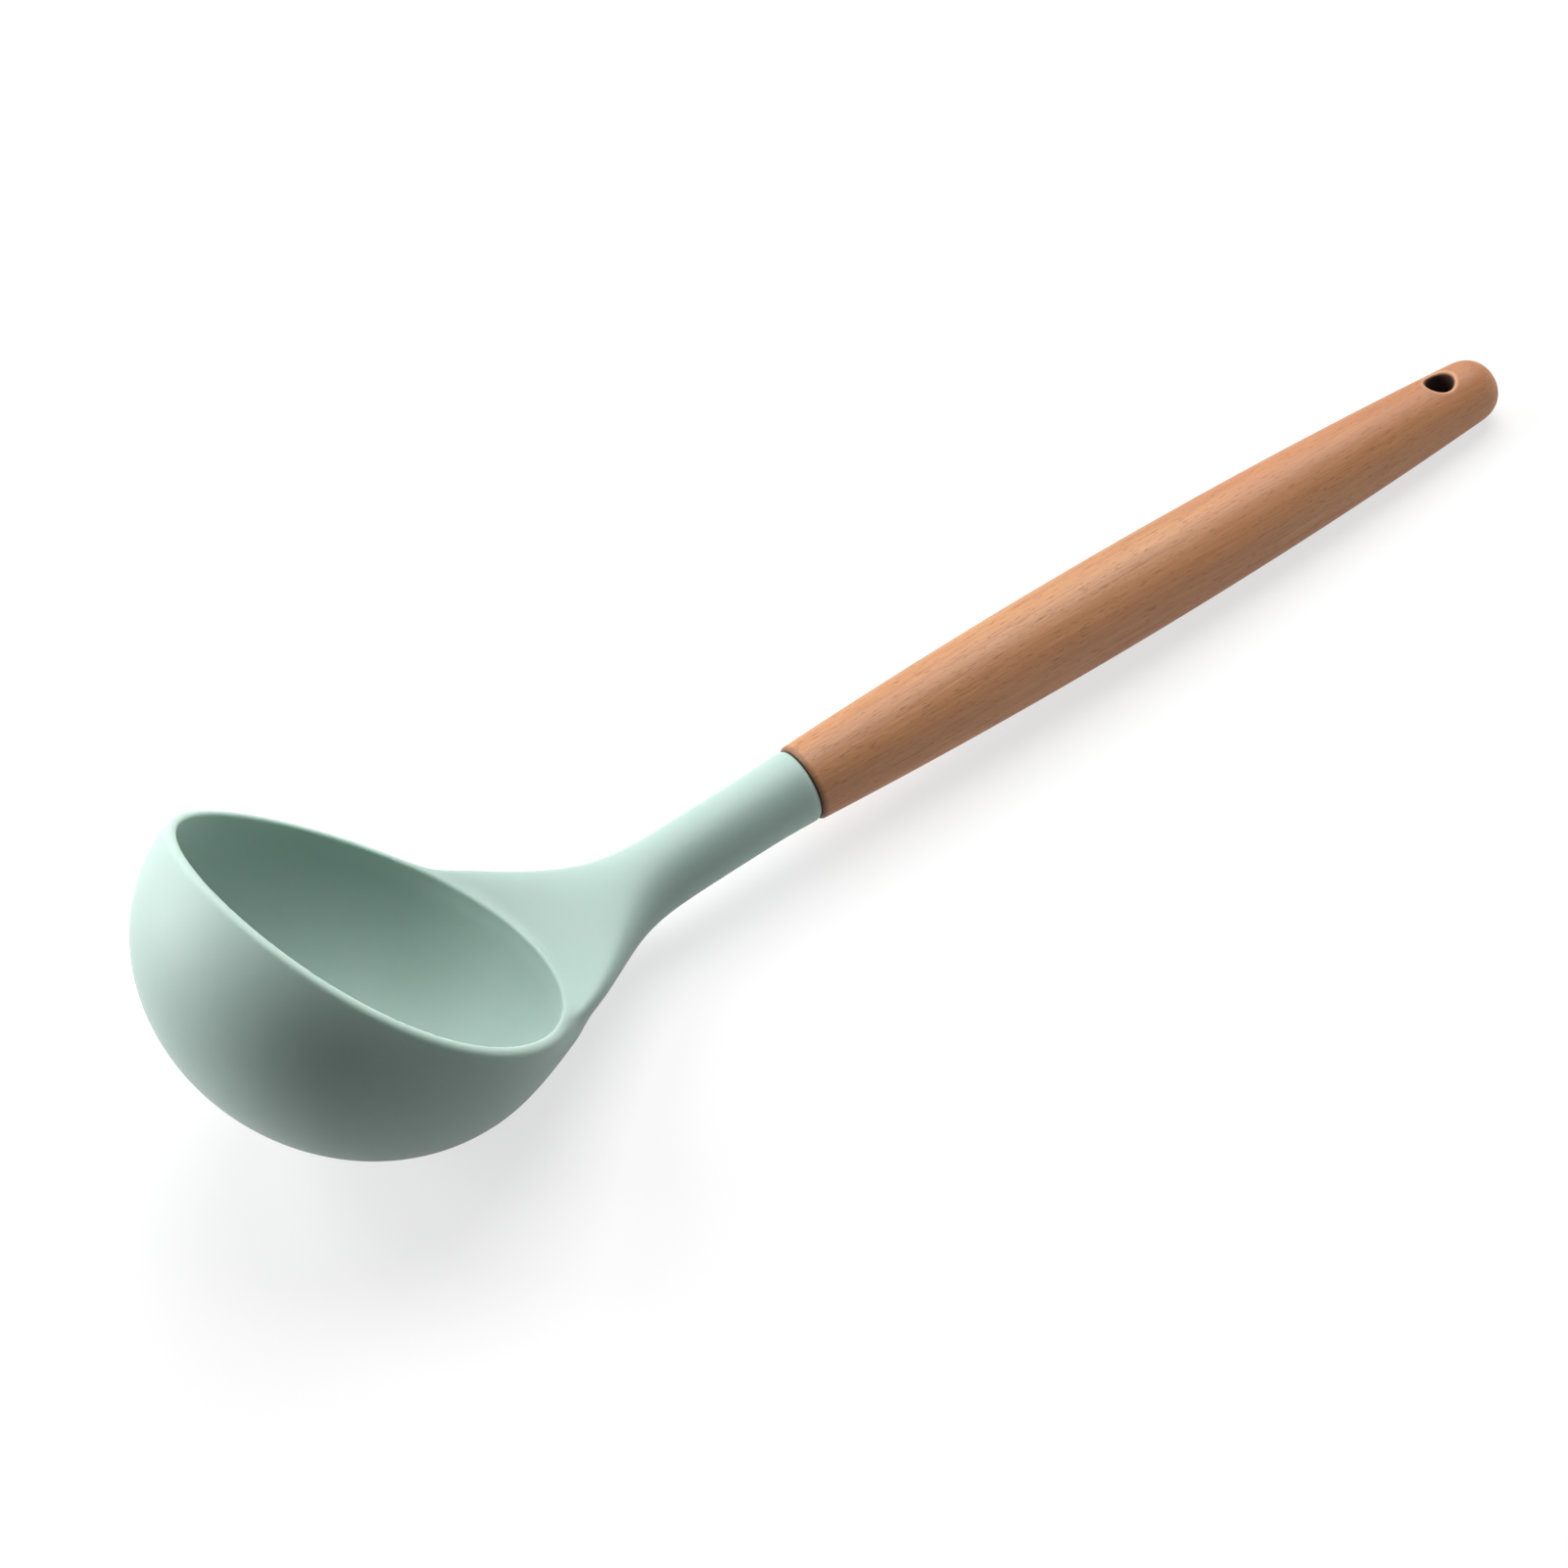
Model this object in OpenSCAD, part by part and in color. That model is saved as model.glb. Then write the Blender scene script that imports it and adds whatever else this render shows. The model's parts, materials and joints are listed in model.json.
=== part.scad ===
// Soup ladle: a silicone head moulded over a nylon core, glued to a turned wooden handle.
// It lies at rest on its bowl and on the belly of its handle.
// +X runs from the bowl to the tip of the handle, +Z is up, and the XZ plane is its plane of symmetry.
// The bowl's centre is the middle of its widest circle. Sizes are in millimetres, angles in degrees.

/* [Bowl] */
// Outside width of the bowl
bowl_w = 90; // [80:1:100]
// Depth of the bowl below its widest circle
bowl_depth = 39.3; // [35:0.1:44]
// Thickness of the bowl's wall, silicone and core together
bowl_wall = 2.6; // [2.4:0.1:3.6]
// Height of the rim over the widest circle, at the two sides
rim_side = 5.7; // [4.5:0.1:7]
// Height of the rim over the widest circle, at the handle and at the front
rim_end = 9.4; // [8.5:0.1:11]
// Angle between the rim and the handle
handle_angle = 44.25; // [38:0.25:50]
// Height of the bowl's centre over the axis of the handle
bowl_lift = 23; // [21:0.1:25]

/* [Neck] */
// Distance from the bowl's centre to the face of the collar, along the handle
collar_x = 103.3; // [95:0.1:115]
// Width of the collar at its face
collar_d = 16.4; // [15:0.1:17]
// Width of the neck at its slimmest
neck_d = 15.6; // [13.5:0.1:16]
// Length of the swelling that leads from the neck to the collar's face
collar_l = 14; // [8:1:20]
// Distance from the bowl's centre to the root of the neck, inside the bowl's wall
root_x = 29.2; // [28:0.1:32]
// Length of the flare from the root to the round part of the neck
flare_l = 55; // [48:1:60]
// Width of the flare at its root
root_w = 64.4; // [60:0.2:68]
// Thickness of the flare over its middle line, at its root
root_over = 2.3; // [1.8:0.1:3]
// Thickness of the flare under its middle line, at its root
root_under = 4.5; // [3.5:0.1:8]
// Fall of the root below the axis of the handle
root_drop = 4.2; // [3.5:0.1:5]
// How far the flare's wings are swept round the bowl, where 1 follows its widest circle
wing_sweep = 1.3; // [1:0.05:1.5]

/* [Core] */
// Thickness of the silicone skin over the core
skin = 0.8; // [0.6:0.05:0.9]
// Distance from the rim down to the edge of the core
core_edge = 3; // [2:0.1:5]
// Width of the tang that enters the handle
tang_d = 10.4; // [9:0.1:11]
// Length of the tang
tang_l = 45; // [35:1:60]
// Number of grooves round the tang that key the glue
groove_n = 3; // [1:1:5]
// Width of each groove
groove_w = 3; // [2:0.5:4]
// Depth of each groove
groove_t = 0.7; // [0.4:0.1:1]
// Gap round the tang that the glue fills
glue_gap = 0.3; // [0.2:0.05:0.5]
// Length of the socket past the end of the tang, also filled with glue
glue_end = 2; // [1:0.5:4]

/* [Handle] */
// Length of the handle, from the collar to its tip
handle_l = 185.5; // [160:0.5:220]
// Width of the handle at the collar
handle_end_d = 17; // [16.6:0.1:19]
// Width of the handle at its belly
belly_d = 21; // [19.5:0.1:24]
// Distance from the collar to the belly
belly_s = 78; // [70:1:90]
// Length of the rounded tip
tip_l = 7; // [5:0.5:9]
// Squareness of the rounded tip, where 2 is elliptical
tip_power = 2.4; // [2:0.1:3]
// Rounding of the edge at the collar
end_ease = 0.6; // [0.4:0.1:1]
// Width of the hole that the ladle hangs by
hole_d = 6; // [5:0.1:7]
// Distance from the tip to the middle of the hole
hole_s = 13.6; // [11:0.1:16]
// Depth of the countersink at each mouth of the hole
hole_ease = 0.6; // [0.3:0.1:1]

/* [Hidden] */
$fn = 96;

// Steps along each curved outline, and round and along the flared neck and the lip
arc_steps = 24;
handle_steps = 30;
neck_sides = 36;
neck_rings = 26;
lip_sides = 10;
lip_rings = 72;
// Overlap that joins bodies, and clearance that cuts run past a surface
join = 6;
// How far the lip's round edge stays inside the two faces of the wall
lip_inset = 0.06;
// Shape of the flare: how late its width opens, how late its thickness falls, how late it dips
width_power = 5.4;
thick_power = 5;
drop_power = 1.45;
// Halving steps and largest angle in the search for the angle that the ladle rests at
rest_steps = 30;
rest_max = 15;

bowl_r = bowl_w / 2;
neck_r = neck_d / 2;
collar_r = collar_d / 2;
tang_r = tang_d / 2;
hole_r = hole_d / 2;
lip_r = bowl_wall / 2 - lip_inset;
socket_r = tang_r + glue_gap;
socket_l = tang_l + glue_end;
hole_x = collar_x + handle_l - hole_s;

// Radius at height z of a round that is r wide at its widest circle and h deep below it
function round_r(r, h, z) = r * sqrt(1 - pow(z / h, 2));

// Outline of that round, from its lowest point up to height top
function round_outline(r, h, top) = [
    for (i = [0 : arc_steps])
        let (a = -90 + (90 + asin(top / h)) * i / arc_steps)
        [r * cos(a), h * sin(a)]
];

// The rim is a saddle: a large cylinder across the handle cuts it
rim_x = round_r(bowl_r, bowl_depth, rim_end);
rim_rise = rim_end - rim_side;
saddle_r = (pow(rim_x, 2) + pow(rim_rise, 2)) / (2 * rim_rise);

// Height of the rim over the widest circle, at distance x from the bowl's axis towards the handle
function rim_top(x) = rim_side + saddle_r - sqrt(pow(saddle_r, 2) - pow(x, 2));

// Radius of the middle of the wall at height z
function wall_mid(z) =
    (round_r(bowl_r, bowl_depth, z) + round_r(bowl_r - bowl_wall, bowl_depth - bowl_wall, z)) / 2;

// One ring of the rounded lip, at angle a round the bowl
function lip_ring(a) =
    let (
        z = rim_top(wall_mid(rim_side) * cos(a)) - lip_r,
        r = wall_mid(z)
    )
    [
        for (j = [0 : lip_sides - 1])
            let (w = 360 * j / lip_sides, d = r + lip_r * cos(w))
            [d * cos(a), d * sin(a), z + lip_r * sin(w)]
    ];

// How far the flare is open at distance x, from 1 at its root to 0 where the neck is round
function flare(x) = max(0, 1 - (x - root_x) / flare_l);

// Radius of the neck without its flare
function neck_round(x) =
    neck_r + (collar_r - neck_r) * pow(max(0, 1 - (collar_x - x) / collar_l), 2);

// Half the neck's width
function neck_half_w(x) = neck_round(x) + (root_w / 2 - neck_r) * pow(sin(90 * flare(x)), width_power);

// Half the neck's thickness, over its middle line or under it, where the root has the given value
function neck_half_t(x, root) = neck_round(x) + (root - neck_r) * pow(sin(90 * flare(x)), thick_power);

// Height of the neck's middle line
function neck_mid_z(x) = -root_drop * pow((collar_x - x) / (collar_x - root_x), drop_power);

// One ring of the neck at distance x, its wings swept back parallel to the rim
function neck_ring(x, inset) = [
    for (j = [0 : neck_sides - 1])
        let (
            w = 360 * j / neck_sides,
            y = (neck_half_w(x) - inset) * cos(w),
            z = (neck_half_t(x, w < 180 ? root_over : root_under) - inset) * sin(w),
            back = wing_sweep * flare(x) * pow(y, 2) / bowl_w
        )
        [x - back * cos(handle_angle), y, neck_mid_z(x) + z + back * sin(handle_angle)]
];

// Radius of the handle at distance s from the collar
function barrel_r(s) = (belly_d - (belly_d - handle_end_d) * pow(s / belly_s - 1, 2)) / 2;

function tip_factor(s) =
    let (t = max(0, 1 - (handle_l - s) / tip_l))
    pow(1 - pow(t, tip_power), 1 / tip_power);

// Outline of the handle, from the collar to the tip, finer towards the tip
handle_outline = concat(
    [[barrel_r(0) - end_ease, 0]],
    [
        for (i = [0 : handle_steps])
            let (s = end_ease + (handle_l - tip_l - end_ease) * i / handle_steps)
            [barrel_r(s), s]
    ],
    [
        for (i = [1 : arc_steps / 2])
            let (s = handle_l - tip_l * (1 - sin(180 * i / arc_steps)))
            [barrel_r(s) * tip_factor(s), s]
    ]
);

// Outline of the tang, from inside the core to its end
groove_pitch = tang_l / (groove_n + 1);
tang_outline = concat(
    [[0, -join], [tang_r, -join]],
    [
        for (i = [1 : groove_n], c = [[0, -1], [1, -1], [1, 1], [0, 1]])
            [tang_r - groove_t * c[0], groove_pitch * i + c[1] * groove_w / 2]
    ],
    [[tang_r, tang_l - groove_t], [tang_r - groove_t, tang_l], [0, tang_l]]
);

// Lowest points of the bowl and of the handle when the ladle is tilted by t about its width
function lowest(points, t) = min([for (p = points) p[1] * cos(t) - p[0] * sin(t)]);

bowl_low = [
    for (p = round_outline(bowl_r, bowl_depth, 0))
        [
            p[0] * cos(handle_angle) + p[1] * sin(handle_angle),
            bowl_lift + p[1] * cos(handle_angle) - p[0] * sin(handle_angle)
        ]
];
handle_low = [for (p = handle_outline) [collar_x + p[1], -p[0]]];

function rest_search(low, high, n) =
    let (t = (low + high) / 2)
    n == 0 ? t
    : lowest(handle_low, t) > lowest(bowl_low, t) ? rest_search(t, high, n - 1)
    : rest_search(low, t, n - 1);

rest_tilt = rest_search(0, rest_max, rest_steps);
rest_low = lowest(handle_low, rest_tilt);

// The ends along X: the front of the bowl and the tip of the handle
bowl_tilt = handle_angle + rest_tilt;
front_x = min([
    for (p = round_outline(bowl_r, bowl_depth, rim_end))
        p[1] * sin(bowl_tilt) - p[0] * cos(bowl_tilt)
]) + bowl_lift * sin(rest_tilt);
tip_x = max([
    for (p = handle_outline)
        (collar_x + p[1]) * cos(rest_tilt) + p[0] * sin(rest_tilt)
]);
middle_x = (front_x + tip_x) / 2;

// Triangles between neighbouring rings of n points, where ring i + 1 follows ring i
function ring_faces(rings, n, count) = [
    for (i = [0 : count - 1], j = [0 : n - 1], half = [0, 1])
        let (
            a = i * n + j,
            b = i * n + (j + 1) % n,
            c = ((i + 1) % rings) * n + (j + 1) % n,
            d = ((i + 1) % rings) * n + j
        )
        half == 0 ? [a, b, c] : [a, c, d]
];

// Triangles from the point numbered middle to a ring that starts at point first
function cap_faces(middle, first, n, turn) = [
    for (j = [0 : n - 1])
        let (a = first + j, b = first + (j + 1) % n)
        turn ? [middle, b, a] : [middle, a, b]
];

function mean_point(points) = [
    for (k = [0 : 2])
        [for (p = points) p[k]] * [for (p = points) 1 / len(points)]
];

// Turns the handle's axis to X and moves it to the collar's face
module along_handle()
    translate([collar_x, 0, 0])
        rotate([0, 90, 0])
            children();

// Places the bowl, drawn upright about its own axis
module as_bowl()
    translate([0, 0, bowl_lift])
        rotate([0, handle_angle, 0])
            children();

// Lays the whole ladle on its table
module at_rest()
    translate([-middle_x, 0, -rest_low])
        rotate([0, rest_tilt, 0])
            children();

// The bowl's outside, cut by the saddle at the given distance below its rim
module bowl_body(inset, below)
    difference() {
        rotate_extrude()
            polygon(concat(
                round_outline(bowl_r - inset, bowl_depth - inset, rim_end),
                [[0, rim_end]]
            ));
        translate([0, 0, rim_side - below + saddle_r])
            rotate([90, 0, 0])
                cylinder(h = bowl_w + join, r = saddle_r, center = true, $fn = 256);
    }

// The space inside the bowl, open upwards
module bowl_hollow(inset)
    let (
        outline = round_outline(bowl_r - bowl_wall + inset, bowl_depth - bowl_wall + inset, rim_end),
        mouth_r = outline[arc_steps][0]
    )
    rotate_extrude()
        polygon(concat(outline, [[mouth_r, bowl_r], [0, bowl_r]]));

// The rounded edge that runs along the rim
module lip()
    polyhedron(
        points = [for (i = [0 : lip_rings - 1]) each lip_ring(360 * i / lip_rings)],
        faces = ring_faces(lip_rings, lip_sides, lip_rings)
    );

// The neck, from the collar's face to its flared root in the bowl's wall
module neck(inset)
    let (
        face_x = collar_x - inset,
        rings = [
            for (i = [0 : neck_rings])
                neck_ring(face_x + (root_x - face_x) * i / neck_rings, inset)
        ],
        count = (neck_rings + 1) * neck_sides
    )
    polyhedron(
        points = concat(
            [for (ring = rings) each ring],
            [mean_point(rings[0]), mean_point(rings[neck_rings])]
        ),
        faces = concat(
            ring_faces(neck_rings + 1, neck_sides, neck_rings),
            cap_faces(count, 0, neck_sides, true),
            cap_faces(count + 1, count - neck_sides, neck_sides, false)
        )
    );

// The bowl and the neck together, drawn in from the outside by the inset
module head_form(inset, below)
    difference() {
        union() {
            as_bowl()
                bowl_body(inset, below);
            neck(inset);
        }
        as_bowl()
            bowl_hollow(inset);
    }

module tang()
    along_handle()
        rotate_extrude()
            polygon(tang_outline);

module socket()
    along_handle()
        cylinder(h = socket_l, r = socket_r);

module core_form() {
    head_form(skin, core_edge);
    tang();
}

// Hole through the handle near its tip, countersunk at both mouths
module hanging_hole()
    let (mouth_z = barrel_r(handle_l - hole_s))
    translate([hole_x, 0, 0]) {
        cylinder(h = 2 * (mouth_z + join), r = hole_r, center = true);
        for (side = [0, 1])
            mirror([0, 0, side])
                translate([0, 0, mouth_z - hole_ease])
                    cylinder(h = join, r1 = hole_r, r2 = hole_r + join);
    }

module silicone_head()
    color("#b9cfc8")
        at_rest()
            difference() {
                union() {
                    head_form(0, lip_r);
                    as_bowl()
                        lip();
                }
                core_form();
            }

module nylon_core()
    color("#4a4f4d")
        at_rest()
            core_form();

module glue_bond()
    color("#d8c9a0")
        at_rest()
            difference() {
                socket();
                tang();
            }

module wooden_handle()
    color("#c39068")
        at_rest()
            difference() {
                along_handle()
                    rotate_extrude()
                        polygon(concat([[0, 0]], handle_outline));
                socket();
                hanging_hole();
            }

silicone_head();
nylon_core();
glue_bond();
wooden_handle();
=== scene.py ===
"""Soup ladle: a mint silicone head on a turned beech handle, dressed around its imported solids."""

import json
import math

import bpy
import numpy as np
from mathutils import Euler, Matrix, Vector


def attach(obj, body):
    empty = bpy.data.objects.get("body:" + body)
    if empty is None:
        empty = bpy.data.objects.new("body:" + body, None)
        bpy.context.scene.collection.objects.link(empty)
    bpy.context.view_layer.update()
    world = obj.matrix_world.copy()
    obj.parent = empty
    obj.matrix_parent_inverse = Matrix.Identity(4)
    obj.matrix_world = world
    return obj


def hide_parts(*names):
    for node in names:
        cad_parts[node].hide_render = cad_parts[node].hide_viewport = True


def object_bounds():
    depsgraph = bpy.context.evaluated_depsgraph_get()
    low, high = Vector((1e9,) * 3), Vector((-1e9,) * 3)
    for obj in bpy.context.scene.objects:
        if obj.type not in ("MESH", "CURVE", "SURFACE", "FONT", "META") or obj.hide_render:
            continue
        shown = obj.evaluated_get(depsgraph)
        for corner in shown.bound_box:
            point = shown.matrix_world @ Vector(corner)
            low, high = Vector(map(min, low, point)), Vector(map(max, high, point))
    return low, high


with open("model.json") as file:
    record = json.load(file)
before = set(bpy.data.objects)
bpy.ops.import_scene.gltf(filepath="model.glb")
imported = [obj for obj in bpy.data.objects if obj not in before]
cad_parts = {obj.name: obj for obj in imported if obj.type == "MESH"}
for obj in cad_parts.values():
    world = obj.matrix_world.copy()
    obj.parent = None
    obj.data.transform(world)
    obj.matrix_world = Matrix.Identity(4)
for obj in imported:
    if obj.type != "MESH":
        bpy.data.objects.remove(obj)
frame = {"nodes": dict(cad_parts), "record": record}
cad_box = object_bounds()

MM = 0.001

# Sizes of the head, in millimetres. X runs along the handle's axis from below the bowl's centre.
BOWL_R = 45.0
BOWL_DEPTH = 39.3
BOWL_WALL = 2.6
BOWL_LIFT = 23.0
RIM_SIDE = 5.7
RIM_END = 9.4
HANDLE_ANGLE = math.radians(44.25)

# The lip: its land falls to the outside from a crest over the rim, and both its edges are rounded.
# Towards the lip the wall gets thinner from the inside, by twice LIP_THIN, over a depth of LIP_TAPER.
LIP_TILT = math.radians(12)
LIP_CREST = 0.17
LIP_EDGE_R = 0.9
LIP_THIN = 0.2
LIP_TAPER = 5.0
# The lip's silicone has no core behind it, and its colour is painted paler there as a highlight along the
# lip: the depth of this under the land, and its run-out at the neck
BARE_LIP_HIGHLIGHT_DEPTH = 0.9
LIP_CLEAR = 6.0
LIP_ATTRIBUTE = "bare_lip_highlight"

# The neck: a round collar, and a root that opens into two wings along the bowl's lip
COLLAR_X = 103.3
COLLAR_R = 8.2
COLLAR_L = 14.0
COLLAR_ROUND = 2.4
NECK_R = 7.8
ROOT_X = 29.2
ROOT_HALF_W = 32.2
ROOT_OVER = 2.3
ROOT_UNDER = 4.5
ROOT_DROP = 4.2
FLARE_L = 55.0
WING_SWEEP = 1.3
WING_EDGE_R = 1.2
WIDTH_POWER = 5.4
THICK_POWER = 5.0
DROP_POWER = 1.45
# Distances from the middle between which the wings run out along the lip
WING_RUN = (20.0, 30.0)
# Widths over which the neck melts into the bowl: on top, at the wings' tips and underneath,
# and the depths over which these widths change, under the wings and under the lip
MELT_TOP = 1.8
MELT_TIP = 4.0
MELT_UNDER = 15.0
WING_REACH = 8.0
LIP_REACH = 5.0

# Sizes of the handle, in millimetres. The belly is placed from the collar's face, the hole from the tip.
HANDLE_L = 185.5
HANDLE_END_D = 17.0
END_ROUND = 0.8
BELLY_D = 21.0
BELLY_AT = 78.0
TIP_L = 7.0
TIP_POWER = 2.4
HOLE_D = 6.0
HOLE_FROM_TIP = 13.6
HOLE_ROUND = 1.4
SOCKET_D = 11.0
SOCKET_L = 47.0

# Mesh of the head: its step, margin and probe in millimetres, and the rounds that even it out
SKIN_STEP = 0.7
SKIN_MARGIN = 1.0
PROBE = 0.02
SETTLE_ROUNDS = 3
RELAX_ROUNDS = 8
RELAX_SHARE = 0.6
SWEEP_ROUNDS = 4
OVAL_ROUNDS = 3
# Least values to divide by: a squared slope and a length
LEAST_SLOPE = 0.1
TINY = 1e-9

# Mesh of the handle: its rings and sides, those of its cutters, and the angle from which an edge is sharp
HANDLE_RINGS = 240
HANDLE_SIDES = 112
HOLE_SIDES = 72
HOLE_ROWS = 11
SOCKET_SIDES = 64
SHARP_ANGLE = math.radians(40)
# How deep the hole's rounding starts, as a share of its radius: under 1, so that it ends over the surface
MOUTH_SINK = 0.97
# How far the cutters stand out of the handle in millimetres, and the distance in metres that joins points
HOLE_PAST = 2.0
SOCKET_PAST = 1.0
MERGE_WITHIN = 1e-6

# The hanging hole's mount says where the handle lies, and how far it is tilted
hole_mount = frame["record"]["mounts"][0]
HOLE_X = COLLAR_X + HANDLE_L - HOLE_FROM_TIP
tilt = math.atan2(hole_mount["axis"][0], hole_mount["axis"][2])
lay_down = Matrix.Translation(hole_mount["pos_m"]) @ Matrix.Rotation(tilt, 4, "Y")
hole_to_collar = Vector(((COLLAR_X - HOLE_X) * MM, 0, 0))


def smooth_min(a, b, width):
    """The lesser of two distances, with the crease between them filled over the given width."""
    near = np.maximum(width - np.abs(a - b), 0) / width
    return np.minimum(a, b) - near**3 * width / 6


def smooth_step(t):
    """Eases from 0 to 1 while t goes from 0 to 1."""
    t = np.clip(t, 0, 1)
    return t * t * (3 - 2 * t)


def round_distance(points, radius, depth):
    """Distance to a round of the given radius and depth, true near its surface."""
    size = np.array([radius, radius, depth])
    ratio = np.linalg.norm(points / size, axis=1)
    slope = np.linalg.norm(points / size**2, axis=1)
    return ratio * (ratio - 1) / np.maximum(slope, 1 / radius**2)


def oval_distance(across, up, half_w, half_t):
    """Distance to an oval, by turning about its own centres of curvature until the nearest point is met."""
    across, up = np.abs(across), np.abs(up)
    to_x = to_y = np.full(len(across), math.sqrt(0.5))
    for _ in range(OVAL_ROUNDS):
        centre_x = (half_w**2 - half_t**2) * to_x**3 / half_w
        centre_y = (half_t**2 - half_w**2) * to_y**3 / half_t
        bend_r = np.hypot(half_w * to_x - centre_x, half_t * to_y - centre_y)
        turn = bend_r / np.maximum(np.hypot(across - centre_x, up - centre_y), TINY)
        to_x = np.clip(((across - centre_x) * turn + centre_x) / half_w, 0, 1)
        to_y = np.clip(((up - centre_y) * turn + centre_y) / half_t, 0, 1)
        length = np.hypot(to_x, to_y)
        to_x, to_y = to_x / length, to_y / length
    outside = np.sign(np.hypot(across / half_w, up / half_t) - 1)
    return outside * np.hypot(across - half_w * to_x, up - half_t * to_y)


def rim_height(x):
    """Height of the rim, a shallow saddle, at distance x from the bowl's axis."""
    reach = BOWL_R * math.sqrt(1 - (RIM_END / BOWL_DEPTH) ** 2)
    rise = RIM_END - RIM_SIDE
    saddle_r = (reach**2 + rise**2) / (2 * rise)
    return RIM_SIDE + saddle_r - np.sqrt(saddle_r**2 - np.minimum(np.abs(x), BOWL_R) ** 2)


def lip_land(middle, over):
    """Height over the lip's land, from the distance to the wall's middle and the height over the rim."""
    from_inside = middle + BOWL_WALL / 2 - 2 * LIP_THIN
    return (over - LIP_CREST) * math.cos(LIP_TILT) + from_inside * math.sin(LIP_TILT)


def bowl_distances(points):
    """Distances to the bowl's wall and to its middle, as if it had no top, and height over the rim."""
    cos, sin = math.cos(HANDLE_ANGLE), math.sin(HANDLE_ANGLE)
    x, y, z = points[:, 0], points[:, 1], points[:, 2] - BOWL_LIFT
    upright = np.stack([x * cos - z * sin, y, x * sin + z * cos], 1)
    outer = round_distance(upright, BOWL_R, BOWL_DEPTH)
    inner = round_distance(upright, BOWL_R - BOWL_WALL, BOWL_DEPTH - BOWL_WALL)
    middle = (outer + inner) / 2
    over = upright[:, 2] - rim_height(upright[:, 0])
    thin = LIP_THIN * smooth_step(1 + over / LIP_TAPER)
    side = np.abs(middle - thin) + thin - BOWL_WALL / 2 + LIP_EDGE_R
    top = lip_land(middle, over) + LIP_EDGE_R
    outside = np.hypot(np.maximum(side, 0), np.maximum(top, 0))
    wall = outside + np.minimum(np.maximum(side, top), 0) - LIP_EDGE_R
    return wall, middle, over


def flare(x):
    """How far the neck is open at x: 1 at its root, 0 where it is round."""
    return np.clip(1 - (x - ROOT_X) / FLARE_L, 0, 1)


def neck_distance(points):
    """Distance to the flared neck, and height over the middle of its section."""
    x, y, z = points.T
    # The wings sweep back round the bowl, so the section that a point lies in is found in rounds
    x_ring = x
    for _ in range(SWEEP_ROUNDS):
        swept = WING_SWEEP * flare(x_ring) * y**2 / (2 * BOWL_R)
        x_ring = x + swept * math.cos(HANDLE_ANGLE)
    opening = np.sin(math.pi / 2 * flare(x_ring))
    swell = (COLLAR_R - NECK_R) * np.clip(1 - (COLLAR_X - x_ring) / COLLAR_L, 0, 1) ** 2
    fall = np.clip((COLLAR_X - x_ring) / (COLLAR_X - ROOT_X), 0, 1) ** DROP_POWER
    height = z + ROOT_DROP * fall - swept * math.sin(HANDLE_ANGLE)
    root_t = np.where(height > 0, ROOT_OVER, ROOT_UNDER)
    half_w = NECK_R + swell + (ROOT_HALF_W - NECK_R) * opening**WIDTH_POWER
    half_t = NECK_R + swell + (root_t - NECK_R) * opening**THICK_POWER
    side = oval_distance(y, height, half_w - WING_EDGE_R, half_t - WING_EDGE_R) - WING_EDGE_R
    return np.maximum(side, ROOT_X - x_ring), height


def head_distance(points):
    """Distance to the whole head: the bowl's wall with the neck melted into its outside."""
    wall, middle, over = bowl_distances(points)
    neck, height = neck_distance(points)
    neck = -smooth_min(-neck, middle, MELT_TOP)
    run_out = smooth_step((np.abs(points[:, 1]) - WING_RUN[0]) / (WING_RUN[1] - WING_RUN[0]))
    under_wing, under_lip = smooth_step(0.5 - height / WING_REACH), smooth_step(-over / LIP_REACH)
    under = under_wing + (under_lip - under_wing) * run_out
    beside = MELT_TOP + (MELT_TIP - MELT_TOP) * run_out
    bare = np.minimum(wall, neck)
    fill = bare - smooth_min(wall, neck, beside + (MELT_UNDER - beside) * under)
    head = bare - fill * smooth_step(1 + middle / (BOWL_WALL / 2))
    return -smooth_min(-head, COLLAR_X - points[:, 0], COLLAR_ROUND)


def bare_lip_highlight(points):
    """Share of the lip, which has no core behind its silicone and is painted paler as a highlight: 1 on the
    lip, 0 elsewhere.
    """
    _, middle, over = bowl_distances(points)
    off_neck = smooth_step(neck_distance(points)[0] / LIP_CLEAR)
    return off_neck * smooth_step(1 + lip_land(middle, over) / BARE_LIP_HIGHLIGHT_DEPTH)


def slope_of(field, points):
    """How steeply the field rises at the points, along X, Y and Z."""
    rises = [field(points + step) - field(points - step) for step in np.eye(3) * PROBE]
    return np.stack(rises, 1) / (2 * PROBE)


def settle(field, points, rounds):
    """Points moved straight onto the surface where the field is zero."""
    for _ in range(rounds):
        slope = slope_of(field, points)
        points = points - (field(points) / np.maximum((slope**2).sum(1), LEAST_SLOPE))[:, None] * slope
    return points


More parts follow.
